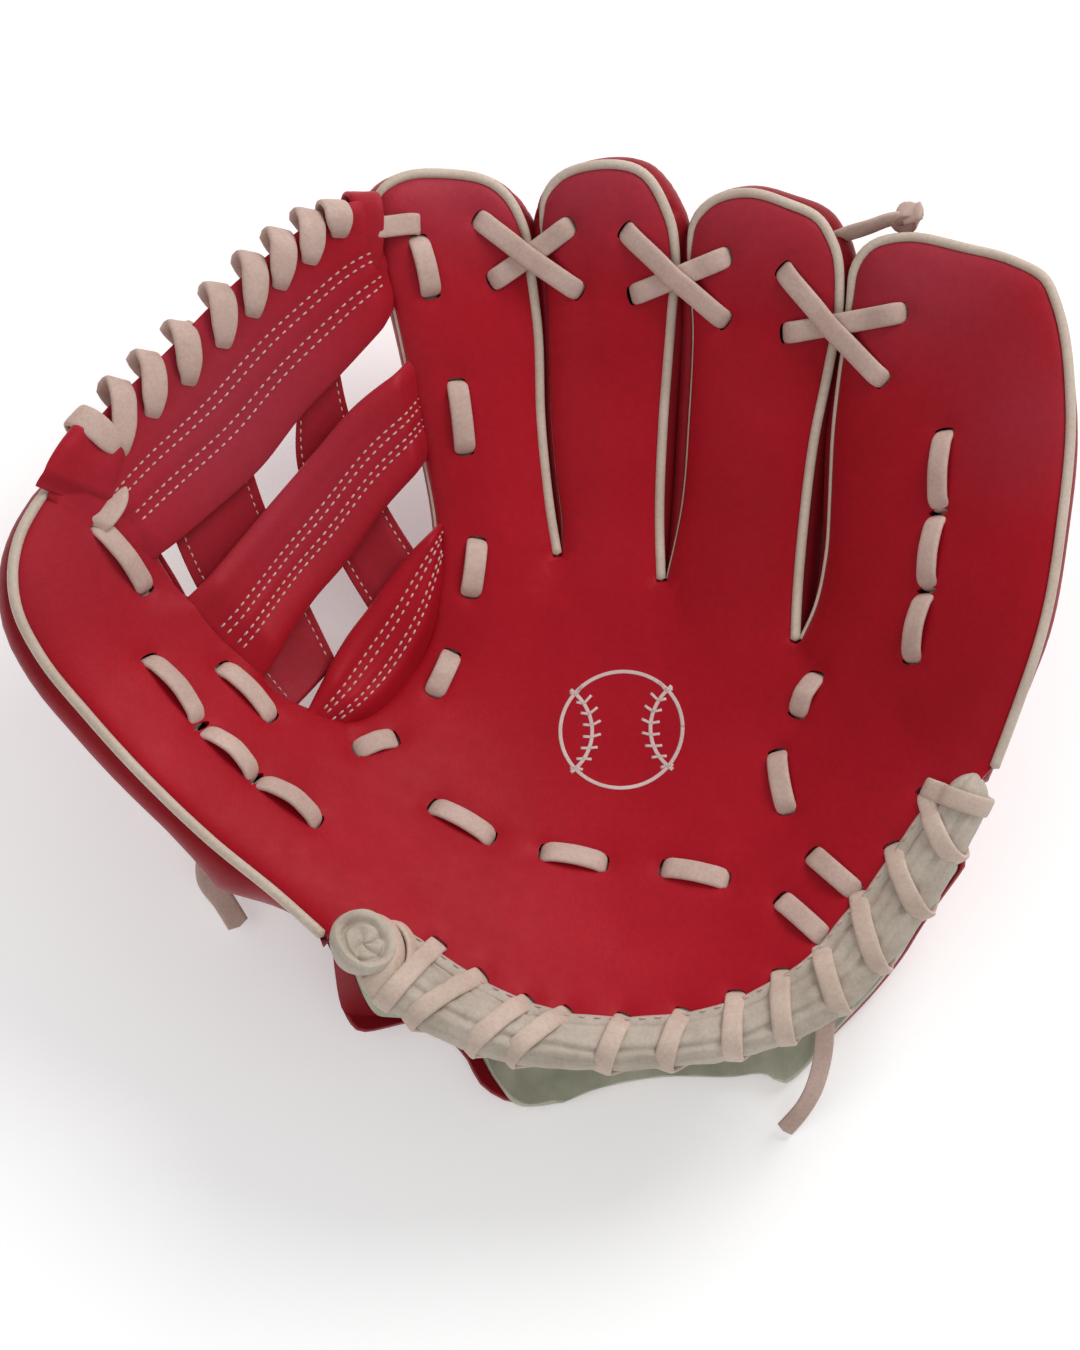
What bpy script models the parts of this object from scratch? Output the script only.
"""Youth baseball fielder's glove for the left hand, lying on its back with the pocket up.

Units are millimetres until a mesh is written, which is in metres. +Z is up and
out of the pocket, +Y runs from the wrist to the finger tips and -X to the thumb.
The origin is on the flat rest face under the pocket.
"""
import math

import bmesh
import bpy
import numpy as np
from mathutils import Vector
from mathutils.geometry import delaunay_2d_cdt

MM = 0.001

# Thicknesses and depths below the front of the glove.
LEATHER = 2.2
SEAM_DEPTH = 5.2
PIPING_RADIUS = 1.1
PIPING_DEPTH = 3.6
PAD_DEPTH = 5.6
PAD_THICKNESS = 3.0
LINING_DEPTH = 9.0
LINING_THICKNESS = 1.2
LINING_GAP = LEATHER + 0.5

# How far the back stands below the front.
FINGER_DEPTH = 24.0
PALM_DEPTH = 37.0
WRIST_DEPTH = 60.0
FLANK_RADIUS = 15.0
WRIST_RADIUS = 60.0

# Flat laces and the slots that they pass through.
LACE_WIDTH = 6.0
LACE_THICKNESS = 1.5
LACE_HIDDEN_WIDTH = 2.4
LACE_RISE = 1.5
LACE_UNDER = 3.7
SLOT_LENGTH = 4.6
SLOT_WIDTH = 6.9

# Rolled binding round the heel.
ROLL_RADIUS = 6.0
ROLL_OFFSET = 6.6
HEEL_WRAPS = 13
ROSETTE_PLACE = (-53.5, -82.5)
ROSETTE_RADIUS = 9.2
ROSETTE_FLATNESS = 0.4
ROSETTE_RISE = 6.0

HINGE_GAP = 0.7
SAMPLE = 8.0
SLIVER_AREA = 0.1

# Heights of the front surface at chosen places, from which the pocket is drawn.
STATIONS = np.array([
    (17, -107, 56), (122, -44, 78), (-50, -84, 68), (6, -22, 33), (34, 24, 37), (87, -11, 58),
    (-32, 24, 38), (-26, 139, 74), (17, 138, 82), (65, 125, 90), (115, 109, 98), (143, 57, 104),
    (137, -15, 96), (-107, -40, 84), (-143, 10, 98), (-129, 51, 96), (-90, 98, 88), (-48, 127, 80),
    (-71, 55, 56), (-54, -6, 40), (-114, 0, 74), (-12, 86, 52), (60, 71, 60), (109, 56, 80)], float)
STATION_SLACK = 200.0

# The knot on the end of the finger lace.
KNOT_RADIUS = 4.4
KNOT_PLACE = (104.5, 121.8, 88.0)

# Outlines of the front in plan, each from its lower end to its upper end.
THUMB_OUTER = [(-58, -79), (-71, -67.5), (-89, -53.5), (-106, -38), (-122, -21), (-136, -4.5), (-141, 5),
               (-142.5, 14.5), (-141, 25), (-137, 34), (-131, 42)]
THUMB_TIP = [(-131, 42), (-125, 45), (-118, 42.5)]
THUMB_INNER = [(-55, -11), (-72, -6), (-85, 2), (-94, 10), (-105, 26.5), (-118, 42.5)]
WEB_BASE = [(-54, -11), (-46, -7), (-38, 2), (-31.5, 13), (-30, 24)]
INDEX_LEFT = [(-30, 24), (-29, 40), (-34, 71), (-40, 100), (-45, 120), (-45.5, 129)]
INDEX_TIP = [(-45.5, 129), (-39, 136.5), (-26, 139), (-14, 136.5), (-7, 128)]
INDEX_RIGHT = [(4.5, 38), (3, 46), (1, 60), (-0.5, 75), (-1.5, 99), (-4, 116), (-7, 128)]
MIDDLE_LEFT = [(6, 38), (6.3, 46), (4.5, 60), (3, 75), (2.2, 99), (1, 116), (0.5, 129)]
MIDDLE_TIP = [(0.5, 129), (4, 136), (16, 139), (28, 136), (34.5, 126)]
MIDDLE_RIGHT = [(33.5, 30), (33, 47), (34, 73), (36, 99), (37, 116), (34.5, 126)]
RING_LEFT = [(35.5, 30), (40, 50), (42, 73), (43, 95), (42.5, 118.5)]
RING_TIP = [(42.5, 118.5), (48, 126.5), (57, 128), (69, 124), (80, 116)]
RING_RIGHT = [(70.5, 9), (71, 20), (73, 42), (76, 64), (80, 82), (83, 99), (80, 116)]
LITTLE_LEFT = [(72.5, 9), (77, 20), (81, 40), (84, 65), (87.5, 83), (90, 102)]
LITTLE_TIP = [(90, 102), (95, 110), (104, 111.5), (118, 107.5), (131, 102), (140, 93)]
LITTLE_OUTER = [(122.5, -36), (129, -19), (136, 2), (141, 29), (144, 62), (140, 93)]
HEEL_ROLL = [(-44, -85), (-33, -91), (-11, -101), (17, -107), (44, -105.5), (72, -97), (94, -81.5),
             (110, -63), (119, -49)]
WRIST_EDGE = [(-55, -79), (-42, -97), (-14, -111), (17, -116), (52, -115), (84, -104), (106, -78),
              (118.5, -43)]
STRAP_SEAM = [(-54.5, -56), (-20, -64), (30, -66), (75, -54), (104, -23)]

# Hinge lines on the front surface, where the pocket creases as the glove closes.
THUMB_HINGE = ((-54.5, -11), (-56.5, -79))
LITTLE_HINGE = ((71.5, 8), (121, -39))

# Web bars, each as its upper edge and its lower edge, from the thumb to the index finger.
TOP_BAR = ([(-121.5, 50.5), (-113, 74), (-101, 90), (-88, 104), (-73, 118), (-57, 130), (-49, 130)],
           [(-104, 31), (-93, 42), (-80, 56), (-68, 72), (-56, 85), (-42.5, 100)])
MIDDLE_BAR = ([(-98, 19), (-88, 33), (-77, 48), (-65, 63), (-54, 76), (-39, 88)],
              [(-76, 2), (-70, 14), (-65, 22), (-57, 32), (-46, 48), (-34.5, 61)])
LOWER_BAR = ([(-62, 9), (-56, 16), (-49, 23), (-42, 32), (-36, 38), (-31.5, 46)],
             [(-56, -6.5), (-48.5, -3.5), (-41.5, 4), (-35, 13), (-32.5, 24), (-31.6, 32)])
CROSS_STRAPS = {
    "web_cross_strap_right": ([(-64, 84), (-60, 68), (-50, 41), (-42, 24)], 16.0),
    "web_cross_strap_left": ([(-93, 53), (-87, 39), (-72, 17), (-66, 6)], 18.0),
}

# Lace stitches, each as the two slots between which the lace shows on the front.
PALM_STITCHES = [((-30.5, -37.5), (-13.5, -47)), ((0.5, -50.5), (18.5, -54)), ((34.5, -55.5), (52.5, -60)),
                 ((69.5, -41), (67, -23)), ((72.5, -13), (78, -2))]
INDEX_STITCHES = [((-52, -21.5), (-41, -17)), ((-30.5, -3), (-25, 9.5)), ((-20, 26), (-18, 42)),
                  ((-21.5, 66), (-24, 85)), ((-31, 107), (-35, 122))]
HEEL_ANCHORS = [((75, -52), (86, -62)), ((67, -63), (78, -74))]
THUMB_LOOP_STITCHES = [((-109, -1.5), (-98, -16.5)), ((-92.5, -23), (-82, -32.5)), ((-76, -37), (-62, -46))]
THUMB_WEB_STITCHES = [((-123, 32), (-110, 17)), ((-90, -1.5), (-75.5, -15))]
LITTLE_LOOP_STITCHES = [((113.5, 59), (112, 41)), ((111, 34), (108.5, 20)), ((107.5, 12), (104.5, -2))]
INDEX_MIDDLE_CROSS = (((-18, 128.5), (11.5, 108)), ((-14, 111.5), (9, 125.5)))
MIDDLE_RING_CROSS = (((24, 123), (53, 97)), ((26, 106), (53.5, 113.5)))
RING_LITTLE_CROSS = (((68.5, 109), (97, 76.5)), ((69, 92.5), (102.5, 94)))

# Colours, as red, green and blue from 0 to 1.
RED = (0.33, 0.006, 0.012)
DARK_RED = (0.24, 0.005, 0.010)
CREAM = (0.56, 0.38, 0.33)
BINDING = (0.50, 0.40, 0.31)
LINING = (0.25, 0.24, 0.16)
FELT = (0.42, 0.40, 0.34)


def plate_kernel(square):
    """The thin plate's shape round one station, from the distance squared."""
    return 0.5 * square * np.log(np.maximum(square, 1e-9))


def fit_plate(stations):
    """Weights of a thin plate that passes close to every station."""
    count = len(stations)
    gaps = ((stations[:, None, :2] - stations[None, :, :2]) ** 2).sum(-1)
    system = np.zeros((count + 3, count + 3))
    system[:count, :count] = plate_kernel(gaps) + STATION_SLACK * np.eye(count)
    system[:count, count] = 1.0
    system[:count, count + 1:] = stations[:, :2]
    system[count:, :count] = system[:count, count:].T
    return np.linalg.solve(system, np.concatenate([stations[:, 2], np.zeros(3)]))


PLATE = fit_plate(STATIONS)


def height(x, y):
    """Height of the glove's front above its rest face."""
    gaps = (STATIONS[:, 0] - x) ** 2 + (STATIONS[:, 1] - y) ** 2
    return float(plate_kernel(gaps) @ PLATE[:-3] + PLATE[-3] + PLATE[-2] * x + PLATE[-1] * y)


def front_normal(x, y):
    """The direction out of the front of the glove."""
    slope_x = (height(x + 1.0, y) - height(x - 1.0, y)) / 2.0
    slope_y = (height(x, y + 1.0) - height(x, y - 1.0)) / 2.0
    return Vector((-slope_x, -slope_y, 1.0)).normalized()


def place(x, y, depth, down=0.0):
    """The point at a depth under the front, measured square to it, or straight down where down is 1."""
    away = front_normal(x, y).lerp(Vector((0.0, 0.0, 1.0)), down)
    point = Vector((x, y, height(x, y))) - away.normalized() * depth
    point.z = max(point.z, 0.0)
    return point


def curve_through(points, spacing=SAMPLE):
    """A smooth line through plan points, resampled at even steps."""
    ends = [2 * np.array(points[0], float) - points[1], 2 * np.array(points[-1], float) - points[-2]]
    knots = [ends[0]] + [np.array(p, float) for p in points] + [ends[1]]
    fine = []
    for first, start, stop, last in zip(knots, knots[1:], knots[2:], knots[3:]):
        for step in range(12):
            t = step / 12.0
            fine.append(0.5 * (2 * start + (stop - first) * t
                               + (2 * first - 5 * start + 4 * stop - last) * t ** 2
                               + (3 * start - first - 3 * stop + last) * t ** 3))
    fine.append(knots[-2])
    return resample(fine, spacing)


def resample(line, spacing):
    """The same line with points at even steps of about the spacing."""
    line = np.array(line, float)
    travelled = np.concatenate([[0.0], np.cumsum(np.linalg.norm(np.diff(line, axis=0), axis=1))])
    count = max(2, int(round(travelled[-1] / spacing)) + 1)
    marks = np.linspace(0.0, travelled[-1], count)
    spread = [np.interp(marks, travelled, line[:, axis]) for axis in range(line.shape[1])]
    return list(np.array(spread).T)


def along(line, t):
    """The point at a share t of a line's length."""
    line = np.array(line, float)
    travelled = np.concatenate([[0.0], np.cumsum(np.linalg.norm(np.diff(line, axis=0), axis=1))])
    mark = t * travelled[-1]
    return np.array([np.interp(mark, travelled, line[:, axis]) for axis in range(2)])


def beside(line, distance):
    """A plan line moved sideways, to the left of its direction of travel."""
    line = np.array(line, float)
    travel = np.gradient(line, axis=0)
    travel /= np.linalg.norm(travel, axis=1)[:, None]
    return [p + distance * np.array([-t[1], t[0]]) for p, t in zip(line, travel)]


def straight(start, stop, spacing=SAMPLE):
    return resample([start, stop], spacing)


def rim_line():
    """The edge where the front is sewn to the back, from the heel's thumb end to its other end."""
    sides = [THUMB_OUTER, THUMB_TIP, THUMB_INNER[::-1], WEB_BASE, INDEX_LEFT, INDEX_TIP, INDEX_RIGHT[::-1],
             MIDDLE_LEFT, MIDDLE_TIP, MIDDLE_RIGHT[::-1], RING_LEFT, RING_TIP, RING_RIGHT[::-1],
             LITTLE_LEFT, LITTLE_TIP, LITTLE_OUTER[::-1]]
    line = []
    for side in sides:
        line += curve_through(side, 3.0)
    return np.array(line)


RIM = rim_line()


def rim_distance(x, y):
    """Distance in plan to the sewn edge."""
    point = np.array([x, y])
    start, stop = RIM[:-1], RIM[1:]
    run = stop - start
    length = np.maximum((run ** 2).sum(1), 1e-9)
    t = np.clip(((point - start) * run).sum(1) / length, 0.0, 1.0)
    return float(np.sqrt((((start + run * t[:, None]) - point) ** 2).sum(1).min()))


def ease(value):
    value = min(max(value, 0.0), 1.0)
    return value * value * (3.0 - 2.0 * value)


def wristward(y):
    """From 0 at the palm to 1 at the wrist."""
    return ease((-20.0 - y) / 50.0)


def back_depth(x, y):
    """Depth of the glove's back: round flanks at the edge, deeper at the palm and the wrist."""
    wrist = wristward(y)
    depth = FINGER_DEPTH + (PALM_DEPTH - FINGER_DEPTH) * ease((85.0 - y) / 80.0)
    depth += (WRIST_DEPTH - PALM_DEPTH) * wrist
    radius = FLANK_RADIUS + (WRIST_RADIUS - FLANK_RADIUS) * wrist
    inward = min(rim_distance(x, y) / radius, 1.0)
    return SEAM_DEPTH + (depth - SEAM_DEPTH) * math.sqrt(1.0 - (1.0 - inward) ** 2)


def back_point(x, y):
    """The point of the back under a plan point of the front."""
    return place(x, y, back_depth(x, y), wristward(y))


def plan_area(corners):
    """Area of a plan triangle."""
    (ax, ay), (bx, by), (cx, cy) = corners
    return abs((bx - ax) * (cy - ay) - (cx - ax) * (by - ay)) / 2


def inside(point, outline):
    """Whether a plan point is inside a closed outline."""
    x, y = point
    crossings = False
    for (ax, ay), (bx, by) in zip(outline, list(outline[1:]) + [outline[0]]):
        if (ay > y) != (by > y) and x < (bx - ax) * (y - ay) / (by - ay) + ax:
            crossings = not crossings
    return crossings


def nearest(point, line):
    return min(math.dist(point, other) for other in line)


def material(name, colour, roughness):
    made = bpy.data.materials.new(name)
    made.use_nodes = True
    shader = made.node_tree.nodes["Principled BSDF"]
    shader.inputs["Base Color"].default_value = (*colour, 1.0)
    shader.inputs["Roughness"].default_value = roughness
    made.diffuse_color = (*colour, 1.0)
    return made


def finish_mesh(name, bm, colour, roughness, thickness=None, offset=-1.0, even=False):
    """Puts a mesh in the glove's collection in metres, with its thickness and its own material."""
    for vertex in bm.verts:
        vertex.co *= MM
    mesh = bpy.data.meshes.new(name)
    bm.to_mesh(mesh)
    bm.free()
    made = bpy.data.objects.new(name, mesh)
    bpy.data.collections["fielders_glove"].objects.link(made)
    mesh.materials.append(material(name + "_finish", colour, roughness))
    mesh.shade_smooth()
    if thickness:
        solid = made.modifiers.new("thickness", "SOLIDIFY")
        solid.thickness = thickness * MM
        solid.offset = offset
        solid.use_even_offset = even
    return made


def slot_outline(centre, towards):
    """The four corners of a lace slot, long side along the lace."""
    run = np.array(towards, float) - np.array(centre, float)
    run /= np.linalg.norm(run)
    side = np.array([-run[1], run[0]])
    half, wide = SLOT_LENGTH / 2, SLOT_WIDTH / 2
    return [np.array(centre) + run * a + side * b
            for a, b in ((-half, -wide), (half, -wide), (half, wide), (-half, wide))]


def slots_of(stitches):
    """Both slots of every stitch."""
    slots = []
    for start, stop in stitches:
        slots.append(slot_outline(start, stop))
        slots.append(slot_outline(stop, start))
    return slots


def cut_sheet(name, outline, slots, depth, thickness, spacing, colour, roughness):
    """A sheet cut to a plan outline with its slots, laid at a depth under the front."""
    loops = [outline] + slots
    points = []
    edges = []
    for loop in loops:
        first = len(points)
        points += [tuple(p) for p in loop]
        edges += [(first + i, first + (i + 1) % len(loop)) for i in range(len(loop))]
    corners = list(points)
    low, high = np.min(outline, axis=0), np.max(outline, axis=0)
    for row, y in enumerate(np.arange(low[1], high[1], spacing * 0.87)):
        for x in np.arange(low[0] + (row % 2) * spacing / 2, high[0], spacing):
            if inside((x, y), outline) and nearest((x, y), corners) > spacing * 0.55:
                points.append((x, y))
    flat = delaunay_2d_cdt([Vector(p) for p in points], edges, [], 0, 1e-5)
    bm = bmesh.new()
    verts = [bm.verts.new(place(p.x, p.y, depth)) for p in flat[0]]
    for face in flat[2]:
        centre = sum((flat[0][i] for i in face), Vector((0, 0))) / len(face)
        in_slot = any(inside(centre, slot) for slot in slots)
        sliver = plan_area([flat[0][i] for i in face]) < SLIVER_AREA
        if inside(centre, outline) and not in_slot and not sliver:
            bm.faces.new([verts[i] for i in face])
    loose = [v for v in bm.verts if not v.link_faces]
    bmesh.ops.delete(bm, geom=loose, context="VERTS")
    bmesh.ops.recalc_face_normals(bm, faces=bm.faces)
    if sum((f.normal.z for f in bm.faces)) < 0:
        bmesh.ops.reverse_faces(bm, faces=bm.faces)
    return finish_mesh(name, bm, colour, roughness, thickness)


def patch(name, left, right, top, bottom, counts, point_at, spread, colour, roughness, thickness, offset):
    """A sheet over a four-sided plan outline, with its shape from point_at."""
    across, up = counts
    bm = bmesh.new()
    bmesh.ops.create_grid(bm, x_segments=across, y_segments=up, size=0.5)
    for vertex in bm.verts:
        u = spread[0](vertex.co.x + 0.5)
        v = spread[1](vertex.co.y + 0.5)
        blend = (1 - v) * along(bottom, u) + v * along(top, u)
        blend += (1 - u) * along(left, v) + u * along(right, v)
        blend -= (1 - u) * (1 - v) * along(bottom, 0) + u * (1 - v) * along(bottom, 1)
        blend -= (1 - u) * v * along(top, 0) + u * v * along(top, 1)
        vertex.co = point_at(*blend)
    bmesh.ops.recalc_face_normals(bm, faces=bm.faces)
    if sum((f.normal.z for f in bm.faces)) < 0:
        bmesh.ops.reverse_faces(bm, faces=bm.faces)
    return finish_mesh(name, bm, colour, roughness, thickness, offset)


def both_ends(t):
    """Closer steps at both ends."""
    return 0.5 - 0.5 * math.cos(math.pi * t)


def far_end(t):
    """Closer steps at the far end."""
    return math.sin(math.pi * t / 2)


def near_end(t):
    return 1.0 - far_end(1.0 - t)


def level(t):
    return t


def untwisted(route):
    """The stations with each across direction on the same side as the one before."""
    turned = [route[0]]
    for point, side, width in route[1:]:
        turned.append((point, side if side.dot(turned[-1][1]) >= 0 else -side, width))
    return turned


def strip(name, route, colour, roughness=0.6, thickness=LACE_THICKNESS):
    """A flat lace along (point, across, width) stations, as one closed body."""
    route = untwisted(route)
    bm = bmesh.new()
    bmesh.ops.create_grid(bm, x_segments=1, y_segments=len(route) - 1, size=0.5)
    for vertex in bm.verts:
        point, side, width = route[round((vertex.co.y + 0.5) * (len(route) - 1))]
        vertex.co = point + side * (width * (1.0 if vertex.co.x > 0 else -1.0) / 2)
    bmesh.ops.recalc_face_normals(bm, faces=bm.faces)
    return finish_mesh(name, bm, colour, roughness, thickness, 0.0, True)


def tube(name, points, radius, colour, roughness=0.6, sides=1):
    """A round piping or roll along points in space."""
    data = bpy.data.curves.new(name, "CURVE")
    data.dimensions = "3D"
    data.bevel_depth = radius * MM
    data.bevel_resolution = sides
    data.use_fill_caps = True
    spline = data.splines.new("POLY")
    spline.points.add(len(points) - 1)
    for knot, point in zip(spline.points, points):
        knot.co = (*(Vector(point) * MM), 1.0)
    made = bpy.data.objects.new(name, data)
    bpy.data.collections["fielders_glove"].objects.link(made)
    data.materials.append(material(name + "_finish", colour, roughness))
    return made


def side_of(x, y, run):
    """The direction across a lace that runs along a plan direction on the front."""
    travel = Vector((run[0], run[1], 0.0))
    return front_normal(x, y).cross(travel).normalized()


def lace_route(stitches, lifts=None):
    """Stations of a lace that shows along each stitch and runs inside between them."""
    lifts = lifts or [0.0] * len(stitches)
    route = []
    for index, (start, stop) in enumerate(stitches):
        start, stop = np.array(start, float), np.array(stop, float)
        run = (stop - start) / np.linalg.norm(stop - start)
        middle = (start + stop) / 2
        shown = [(start, 1.1, 4.6), (start + run * 0.9, -0.6, LACE_WIDTH),
                 (start + run * 2.4, -LACE_RISE, LACE_WIDTH), (middle, -LACE_RISE - lifts[index], LACE_WIDTH),
                 (stop - run * 2.4, -LACE_RISE, LACE_WIDTH), (stop - run * 0.9, -0.6, LACE_WIDTH),
                 (stop, 1.1, 4.6)]
        for point, depth, width in shown:
            route.append((place(*point, depth), side_of(*point, run), width))
        if index + 1 < len(stitches):
            goal = np.array(stitches[index + 1][0], float)
            inner = (goal - stop) / np.linalg.norm(goal - stop)
            for point in resample([stop + inner * 1.6, goal - inner * 1.6], 7.0):
                route.append((place(*point, LACE_UNDER), side_of(*point, inner), LACE_HIDDEN_WIDTH))
    return route


def wrap_route(line, inward, marks, section, width):
    """Stations of a lace wound round an edge: section gives each turn's (inward, depth) steps."""
    route = []
    steps = len(section)
    for turn, mark in enumerate(marks):
        pitch = (marks[turn + 1] if turn + 1 < len(marks) else mark + (mark - marks[turn - 1])) - mark
        for step, (reach, depth) in enumerate(section):
            if turn + 1 == len(marks) and step > steps // 2:
                break
            share = mark + pitch * ease((step / steps - 0.45) / 0.5)
            share = min(share, 1.0)
            base = along(line, share)
            travel = along(line, min(share + 0.01, 1.0)) - along(line, max(share - 0.01, 0.0))
            travel /= np.linalg.norm(travel)
            point = base + inward * reach * np.array([-travel[1], travel[0]])
            side = Vector((travel[0], travel[1], 0.0))
            normal = front_normal(*base)
            side = (side - normal * side.dot(normal)).normalized()
            route.append((place(*point, depth), side, width))
    return route


def closed(*sides):
    """One closed outline from sides laid end to end."""
    outline = []
    for side in sides:
        for point in side:
            if not outline or math.dist(point, outline[-1]) > 0.4:
                outline.append(np.array(point, float))
    if math.dist(outline[0], outline[-1]) < 0.4:
        outline.pop()
    return outline


def hinge_side(hinge, shift):
    """A hinge line moved to one side of itself, from its upper end to its lower end."""
    return beside(straight(*hinge), shift)


def heel_edge():
    """The heel edge of the front, just inside the rolled binding."""
    return beside(curve_through(HEEL_ROLL), ROLL_OFFSET)


def palm_outline():
    fingers = [curve_through(RING_RIGHT), curve_through(RING_TIP)[::-1], curve_through(RING_LEFT)[::-1],
               curve_through(MIDDLE_RIGHT), curve_through(MIDDLE_TIP)[::-1], curve_through(MIDDLE_LEFT)[::-1],
               curve_through(INDEX_RIGHT), curve_through(INDEX_TIP)[::-1], curve_through(INDEX_LEFT)[::-1]]
    little_side = hinge_side(LITTLE_HINGE, -HINGE_GAP)[::-1]
    thumb_side = hinge_side(THUMB_HINGE, HINGE_GAP)
    return closed(heel_edge(), little_side, *fingers, curve_through(WEB_BASE)[::-1], thumb_side)


def thumb_outline():
    return closed(hinge_side(THUMB_HINGE, -HINGE_GAP)[::-1], curve_through(THUMB_INNER),
                  curve_through(THUMB_TIP)[::-1], curve_through(THUMB_OUTER)[::-1])


def little_outline():
    return closed(hinge_side(LITTLE_HINGE, HINGE_GAP), curve_through(LITTLE_OUTER),
                  curve_through(LITTLE_TIP)[::-1], curve_through(LITTLE_LEFT)[::-1])


def crossed(cross):
    """The two stitches of a crossed lace, in the order in which the lace runs."""
    (top_start, top_stop), (under_start, under_stop) = cross
    return [(top_start, top_stop), (under_stop, under_start)]


def build_front():
    """The front leather, cut along the two creases where the glove closes."""
    finger_slots = slots_of(list(INDEX_MIDDLE_CROSS + MIDDLE_RING_CROSS))
    ring_slots = [slot_outline(a, b) for a, b in RING_LITTLE_CROSS]
    little_slots = [slot_outline(b, a) for a, b in RING_LITTLE_CROSS]
    palm_slots = slots_of(PALM_STITCHES + INDEX_STITCHES + HEEL_ANCHORS) + finger_slots + ring_slots
    palm_slots += heel_slots()
    cut_sheet("palm_shell", palm_outline(), palm_slots, 0.0, LEATHER, 15.0, RED, 0.45)
    thumb_slots = slots_of(THUMB_LOOP_STITCHES + THUMB_WEB_STITCHES)
    cut_sheet("thumb_shell", thumb_outline(), thumb_slots, 0.0, LEATHER, 14.0, RED, 0.45)
    cut_sheet("little_finger_shell", little_outline(), slots_of(LITTLE_LOOP_STITCHES) + little_slots,
              0.0, LEATHER, 14.0, RED, 0.45)


def heel_marks():
    """Where the heel lace goes through the edge, as shares of the binding's length."""
    return list(np.linspace(0.05, 0.96, HEEL_WRAPS))


def heel_slots():
    """Holes along the heel for the lace."""
    line = curve_through(HEEL_ROLL, 3.0)
    slots = []
    for mark in heel_marks():
        base = along(line, mark)
        travel = along(line, min(mark + 0.01, 1.0)) - along(line, mark - 0.01)
        travel /= np.linalg.norm(travel)
        inward = np.array([-travel[1], travel[0]])
        centre = base + inward * (ROLL_OFFSET + 4.6)
        slots.append(slot_outline(centre, centre + inward))
    return slots


def build_heel():
    """The rolled binding, its gathered end and the lace wound round it."""
    line = curve_through(HEEL_ROLL, 3.0)
    centre = [place(*p, LEATHER / 2) for p in curve_through(HEEL_ROLL, 6.0)]
    tube("heel_binding", centre, ROLL_RADIUS, BINDING, 0.7, 3)
    turn = [(11.2, 1.1), (10.4, -1.6), (7.6, -3.9), (3.6, -6.3), (-1.2, -6.7), (-5.2, -4.6), (-7.4, -0.6),
            (-6.6, 4.2), (-3.4, 8.0), (1.6, 8.9), (6.6, 7.4), (10.2, 4.2)]
    strip("heel_lace", wrap_route(line, 1.0, heel_marks(), turn, 5.6), CREAM)
    bm = bmesh.new()
    bmesh.ops.create_uvsphere(bm, u_segments=18, v_segments=10, radius=ROSETTE_RADIUS)
    facing = front_normal(*ROSETTE_PLACE).to_track_quat("Z", "Y")
    centre = place(*ROSETTE_PLACE, -ROSETTE_RISE)
    for vertex in bm.verts:
        vertex.co.z *= ROSETTE_FLATNESS
        vertex.co = facing @ vertex.co + centre
    finish_mesh("binding_rosette", bm, BINDING, 0.7)


def build_padding():
    """Felt pads and the palm lining, between the front leather and the hand."""
    inner_heel = beside(curve_through(HEEL_ROLL, 12.0), ROLL_OFFSET + 14.0)
    palm_top = [(62, 6), (34, 22), (5, 30), (-20, 20)]
    side = [(-24, 8), (-32, -6), (-44, -16), (-49, -22), (-50, -66)]
    outline = closed(inner_heel[1:-2], palm_top, side)
    cut_sheet("palm_pad", outline, [], PAD_DEPTH, PAD_THICKNESS, 17.0, FELT, 0.9)
    cut_sheet("palm_lining", outline, [], LINING_DEPTH, LINING_THICKNESS, 17.0, LINING, 0.8)
    thumb = [(-61, -19), (-60.5, -57), (-79, -42), (-103, -16), (-127, 9), (-127, 30), (-116, 30), (-99, 6),
             (-80, -10)]
    cut_sheet("thumb_pad", closed(thumb), [], PAD_DEPTH, PAD_THICKNESS, 17.0, FELT, 0.9)
    little = [(84, 8), (116, -24), (127, 6), (134, 60), (129, 90), (105, 100), (97, 84), (90, 40)]
    cut_sheet("little_finger_pad", closed(little), [], PAD_DEPTH, PAD_THICKNESS, 17.0, FELT, 0.9)


def build_backs():
    """The back of each stall, the back panel and the wrist strap."""
    finger_spread = (both_ends, far_end)
    stalls = {
        "index_back": (INDEX_LEFT, INDEX_RIGHT, INDEX_TIP),
        "middle_back": (MIDDLE_LEFT, MIDDLE_RIGHT, MIDDLE_TIP),
        "ring_back": (RING_LEFT, RING_RIGHT, RING_TIP),
    }
    for name, (left, right, top) in stalls.items():
        left, right = curve_through(left, 3.0), curve_through(right, 3.0)
        patch(name, left, right, curve_through(top, 2.0), [left[0], right[0]], (8, 9), back_point,
              finger_spread, DARK_RED, 0.45, LEATHER, 1.0)
    left, right = curve_through(LITTLE_LEFT, 3.0)[1:], curve_through(LITTLE_OUTER, 3.0)
    low = straight(left[0], right[0])
    patch("little_finger_back", left, right, curve_through(LITTLE_TIP, 2.0), low, (9, 10), back_point,
          finger_spread, DARK_RED, 0.45, LEATHER, 1.0)
    left, right = curve_through(THUMB_OUTER, 3.0)[1:], curve_through(THUMB_INNER, 3.0)[1:]
    low = straight(left[0], right[0])
    patch("thumb_back", left, right, curve_through(THUMB_TIP, 2.0), low, (9, 10), back_point,
          finger_spread, DARK_RED, 0.45, LEATHER, 1.0)


def drop(line, distance):
    """A line moved towards the wrist."""
    return [np.array(p) - np.array([0.0, distance]) for p in line]


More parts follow.
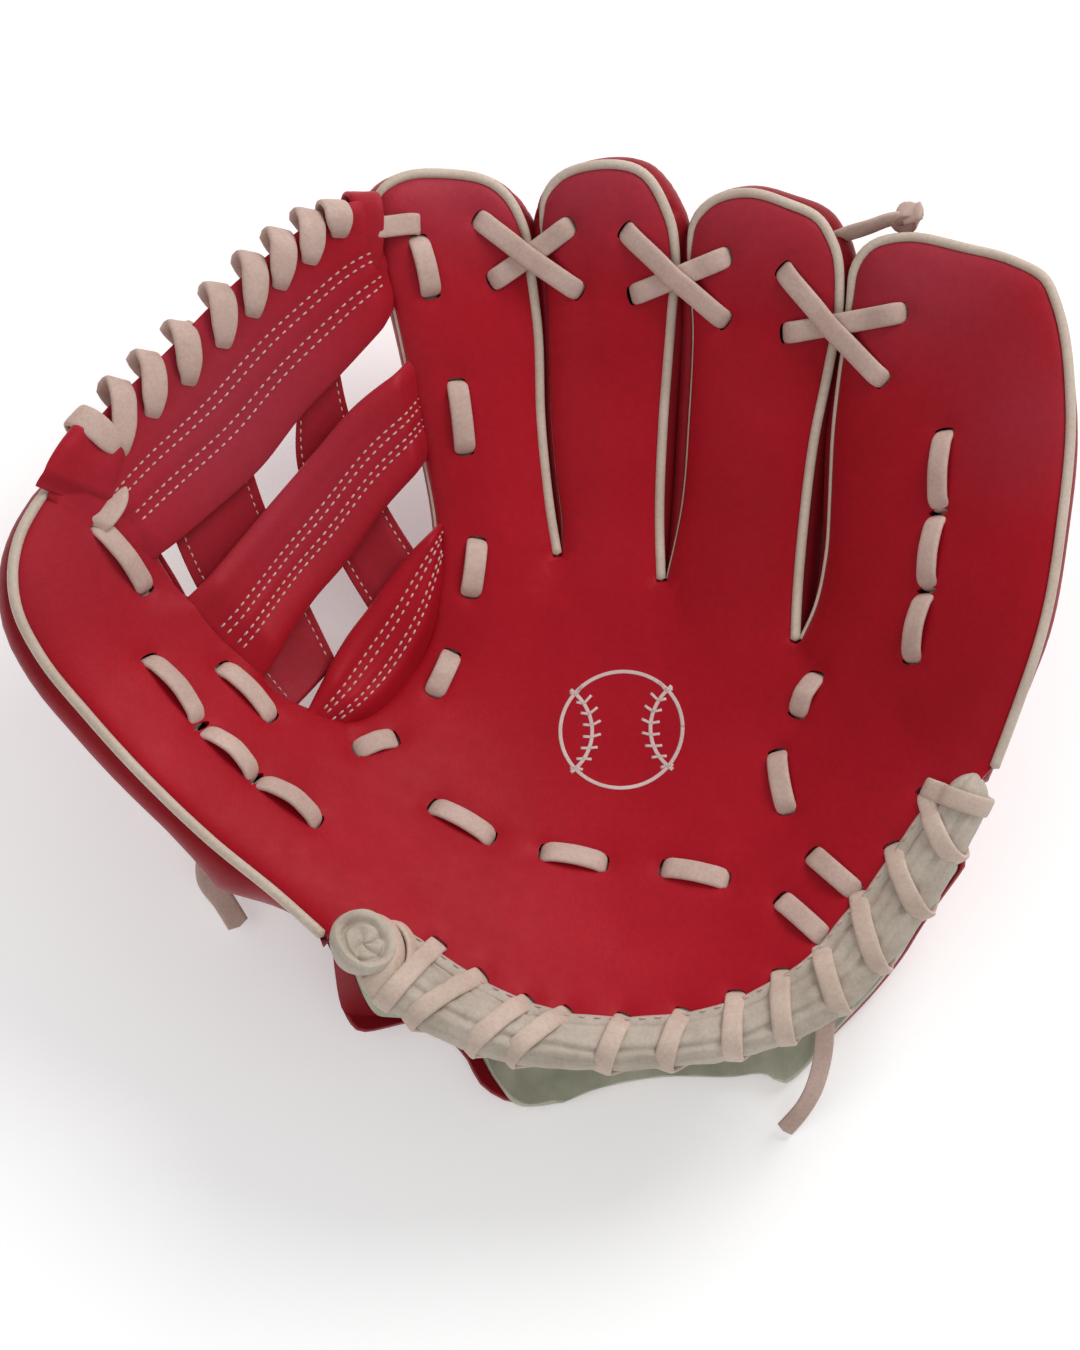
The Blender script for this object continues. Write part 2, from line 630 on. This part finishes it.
def build_back_panel():
    """The back panel under the palm, the wrist strap and the strap's lining."""
    base = curve_through(WEB_BASE, 3.0)
    top = drop([base[-1], INDEX_RIGHT[0], MIDDLE_RIGHT[0], RING_RIGHT[0]], 1.2)
    seam = curve_through(STRAP_SEAM, 4.0)
    left = [seam[0], np.array(THUMB_HINGE[0]) + (HINGE_GAP + 0.4, -1.0)] + base[1:-1] + [top[0]]
    right = [seam[-1], top[-1]]
    patch("back_panel", left, right, top, seam, (9, 9), back_point, (near_end, level), DARK_RED, 0.45,
          LEATHER, 1.0)
    edge = curve_through(WRIST_EDGE, 4.0)
    low_seam = drop(seam, 1.2)
    lining_shift = 1.0 + 2.0 * LINING_GAP / LINING_THICKNESS
    layers = (("wrist_strap", DARK_RED, 0.45, LEATHER, 1.0),
              ("wrist_strap_lining", LINING, 0.8, LINING_THICKNESS, lining_shift))
    for name, colour, roughness, thickness, shift in layers:
        patch(name, [edge[0], low_seam[0]], [edge[-1], low_seam[-1]], low_seam, edge, (14, 4), back_point,
              (both_ends, level), colour, roughness, thickness, shift)


def build_piping():
    """Cream piping in the seam between the front and the back."""
    lines = {
        "index_piping": [INDEX_RIGHT[1:], INDEX_TIP[::-1], INDEX_LEFT[::-1], WEB_BASE[::-1]],
        "middle_piping": [MIDDLE_RIGHT[1:], MIDDLE_TIP[::-1], MIDDLE_LEFT[1:][::-1]],
        "ring_piping": [RING_RIGHT[1:], RING_TIP[::-1], RING_LEFT[1:][::-1]],
        "little_finger_piping": [LITTLE_OUTER, LITTLE_TIP[::-1], LITTLE_LEFT[1:][::-1]],
        "thumb_piping": [THUMB_INNER[1:], THUMB_TIP[::-1], THUMB_OUTER[::-1]],
    }
    for name, sides in lines.items():
        line = closed(*[curve_through(side, 5.0) for side in sides])
        moved = beside(resample(line, 6.5), -0.3)
        tube(name, [place(*p, PIPING_DEPTH) for p in moved], PIPING_RADIUS, CREAM)


def build_laces():
    """Laces that show as stitches on the front."""
    strip("palm_lace", lace_route(PALM_STITCHES), CREAM)
    strip("index_web_lace", lace_route(INDEX_STITCHES), CREAM)
    strip("heel_anchor_lace", lace_route([HEEL_ANCHORS[0], HEEL_ANCHORS[1][::-1]]), CREAM)
    strip("thumb_loop_lace", lace_route(THUMB_LOOP_STITCHES, [2.0] * 3), CREAM)
    strip("thumb_web_lace", lace_route(THUMB_WEB_STITCHES, [0.6] * 2), CREAM)
    strip("little_finger_loop_lace", lace_route(LITTLE_LOOP_STITCHES, [0.8] * 3), CREAM)
    strip("index_middle_lace", lace_route(crossed(INDEX_MIDDLE_CROSS), [2.2, 0.0]), CREAM)
    strip("middle_ring_lace", lace_route(crossed(MIDDLE_RING_CROSS), [2.2, 0.0]), CREAM)
    strip("ring_little_lace", lace_route(crossed(RING_LITTLE_CROSS), [2.2, 0.0]), CREAM)


def build_web():
    """Three leather bars and two cross straps between the thumb and the index finger."""
    line = curve_through(TOP_BAR[0], 3.0)
    slots = []
    for mark in web_marks():
        base = along(line, mark)
        travel = along(line, mark + 0.01) - along(line, mark - 0.01)
        inward = np.array([travel[1], -travel[0]]) / np.linalg.norm(travel)
        centre = base + inward * 12.5
        slots.append(slot_outline(centre, centre + inward))
    outline = closed(curve_through(TOP_BAR[1]), curve_through(TOP_BAR[0])[::-1])
    cut_sheet("web_top_bar", outline, slots, 0.0, 3.0, 12.0, RED, 0.45)
    turn = [(12.5, 1.5), (11.6, -0.8), (9.6, -1.7), (5.0, -1.9), (0.4, -1.6), (-1.9, 0.2), (-1.9, 2.9),
            (0.4, 4.7), (5.0, 5.0), (9.6, 4.8), (11.6, 4.0)]
    strip("web_top_lace", wrap_route(line, -1.0, web_marks(), turn, LACE_WIDTH), CREAM)
    bars = (("web_middle_bar", MIDDLE_BAR, -2.0), ("web_lower_bar", LOWER_BAR, 0.0))
    for name, (upper, lower), depth in bars:
        upper, lower = curve_through(upper), curve_through(lower)
        patch(name, [lower[0], upper[0]], [lower[-1], upper[-1]], upper, lower, (10, 3),
              lambda x, y: place(x, y, depth), (level, level), RED, 0.45, 3.0, -1.0)
    for name, (points, width) in CROSS_STRAPS.items():
        middle = curve_through(points)
        left, right = beside(middle, width / 2), beside(middle, -width / 2)
        patch(name, left, right, [left[-1], right[-1]], [left[0], right[0]], (2, 8),
              lambda x, y: place(x, y, 3.6), (level, level), DARK_RED, 0.5, 1.6, -1.0)


def web_marks():
    """Where the lace goes through the top bar, as shares of the bar's edge."""
    return list(np.linspace(0.14, 0.86, 8))


def build_loops():
    """Leather loops: two that hold the web at the finger tips, and two inside the stalls."""
    thumb_turn = [(-113, 51, -4.0), (-119, 54, -4.4), (-125, 55, -3.6), (-130, 55, -0.5), (-132, 54, 4.0),
                  (-130, 53, 8.4), (-124, 52, 9.5)]
    tip_route = []
    for x, y, depth in thumb_turn:
        tip_route.append((place(x, y, depth), Vector((0.35, 0.93, 0.1)).normalized(), 9.0))
    strip("thumb_tip_loop", tip_route, RED, 0.45, 1.6)
    index_turn = [(-53, 112, -4.0), (-52, 120, -4.2), (-50.5, 128, -4.0), (-49.5, 134, -2.0),
                  (-49, 137.5, 2.0), (-49, 137, 6.5), (-50, 131, 8.4)]
    index_route = []
    for x, y, depth in index_turn:
        index_route.append((place(x, y, depth), Vector((1.0, 0.15, 0.0)).normalized(), 5.0))
    strip("index_tip_loop", index_route, RED, 0.45, 1.6)
    stall_loops = {
        "thumb_loop": ((-104, -21), (-90, -3), 13.0),
        "little_finger_loop": ((94, 42), (124, 34), 13.0),
    }
    for name, (start, stop, width) in stall_loops.items():
        start, stop = np.array(start, float), np.array(stop, float)
        run = (stop - start) / np.linalg.norm(stop - start)
        route = []
        for step in range(9):
            angle = math.pi * step / 8
            point = start + (stop - start) * (1 - math.cos(angle)) / 2
            route.append((place(*point, 9.2 + 9.5 * math.sin(angle)), side_of(*point, run), width))
        strip(name, route, LINING, 0.8, 1.6)


def build_tails():
    """Loose ends of the laces."""
    tails = {
        "heel_lace_tail": [(80, -98, 36), (80, -104, 29), (79, -110, 20), (77, -115, 12), (74, -119, 6),
                           (70, -123, 2.4)],
        "thumb_lace_tail": [(-82, -36, 12.5), (-89, -41, 14.5), (-95, -46, 16.5), (-95.5, -52, 14),
                            (-91, -58, 10), (-87, -64, 6.5)],
    }
    for name, points in tails.items():
        tube(name, curve_through(points, 6.0), 2.2, CREAM)
    loose_end = [(83, 119, 82), (89, 119, 84), (95, 120, 86), (99, 121, 87)]
    tube("finger_lace_end", curve_through(loose_end, 4.0), 2.0, CREAM)
    bm = bmesh.new()
    bmesh.ops.create_uvsphere(bm, u_segments=10, v_segments=6, radius=KNOT_RADIUS)
    bmesh.ops.translate(bm, verts=bm.verts, vec=KNOT_PLACE)
    finish_mesh("finger_lace_knot", bm, CREAM, 0.6)


def add_hinge_centres():
    """An empty on each hinge line, which the moving pieces hang from."""
    moving = {
        "thumb_close_axis": (THUMB_HINGE, ["thumb_shell", "thumb_back", "thumb_pad", "thumb_piping",
                                           "thumb_loop", "thumb_loop_lace", "thumb_web_lace",
                                           "thumb_tip_loop", "thumb_lace_tail"]),
        "little_finger_close_axis": (LITTLE_HINGE, ["little_finger_shell", "little_finger_back",
                                                    "little_finger_pad", "little_finger_piping",
                                                    "little_finger_loop", "little_finger_loop_lace"]),
    }
    for name, (line, pieces) in moving.items():
        centre = bpy.data.objects.new(name, None)
        bpy.data.collections["fielders_glove"].objects.link(centre)
        centre.location = place(*line[0], 0.0) * MM
        for piece in pieces:
            child = bpy.data.objects[piece]
            child.parent = centre
            child.matrix_parent_inverse.translation = -centre.location


def main():
    for old in list(bpy.data.objects):
        bpy.data.objects.remove(old)
    collection = bpy.data.collections.new("fielders_glove")
    bpy.context.scene.collection.children.link(collection)
    build_front()
    build_padding()
    build_backs()
    build_back_panel()
    build_heel()
    build_piping()
    build_laces()
    build_web()
    build_loops()
    build_tails()
    add_hinge_centres()


main()
